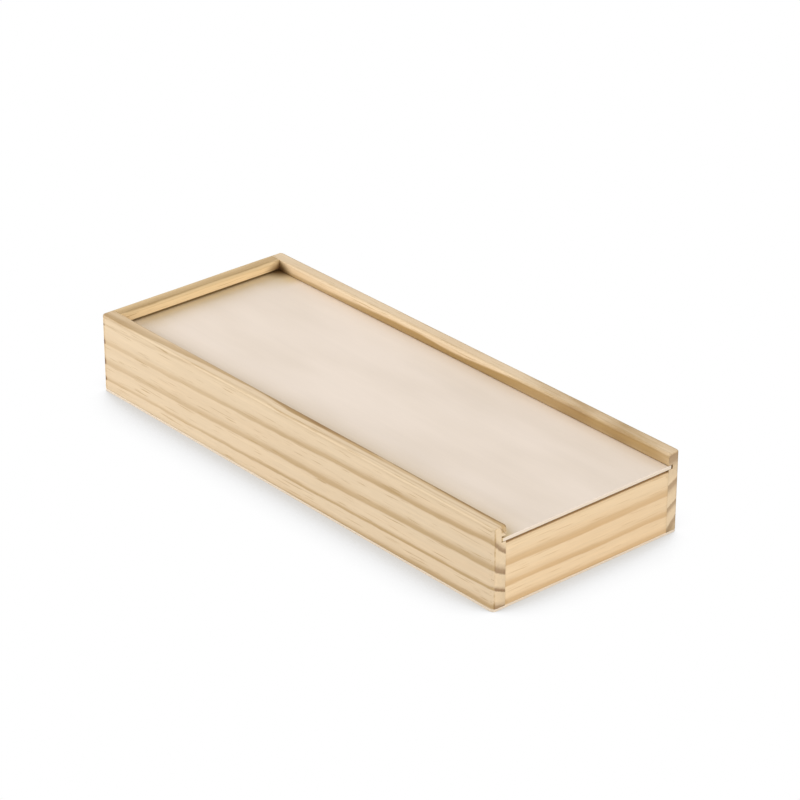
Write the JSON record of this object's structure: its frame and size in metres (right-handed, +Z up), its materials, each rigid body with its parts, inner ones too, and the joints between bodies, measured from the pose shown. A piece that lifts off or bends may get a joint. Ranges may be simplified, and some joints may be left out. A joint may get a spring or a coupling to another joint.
{
  "type": "domino storage box",
  "caption": "Long, low wooden box with a thin lid that slides in grooves along the walls and comes out over a lower end wall, for keeping a set of dominoes.",
  "frame": {"origin": "middle of the box's underside, on the surface that it stands on", "axes": "+X along the box towards the low end, where the lid slides out; +Y across the box towards the right side wall; +Z up"},
  "size_m": [0.22, 0.0874, 0.032],
  "materials": {
    "side_wall_pine": "planed and sanded pine, unvarnished, matt",
    "end_wall_pine": "planed and sanded pine, unvarnished, matt",
    "base_plywood": "thin three-ply sheet, sanded, matt",
    "lid_plywood": "thin pale three-ply sheet, sanded smooth, matt"
  },
  "bodies": {
    "box": {"left_side_wall": "side_wall_pine", "right_side_wall": "side_wall_pine", "closed_end_wall": "end_wall_pine", "low_end_wall": "end_wall_pine", "base_panel": "base_plywood"},
    "lid": {"sliding_lid": "lid_plywood"}
  },
  "joints": [
    {"name": "lid_slide", "type": "slide", "parent": "box", "child": "lid", "axis": [1, 0, 0], "range_m": [0, 0.222]}
  ]
}
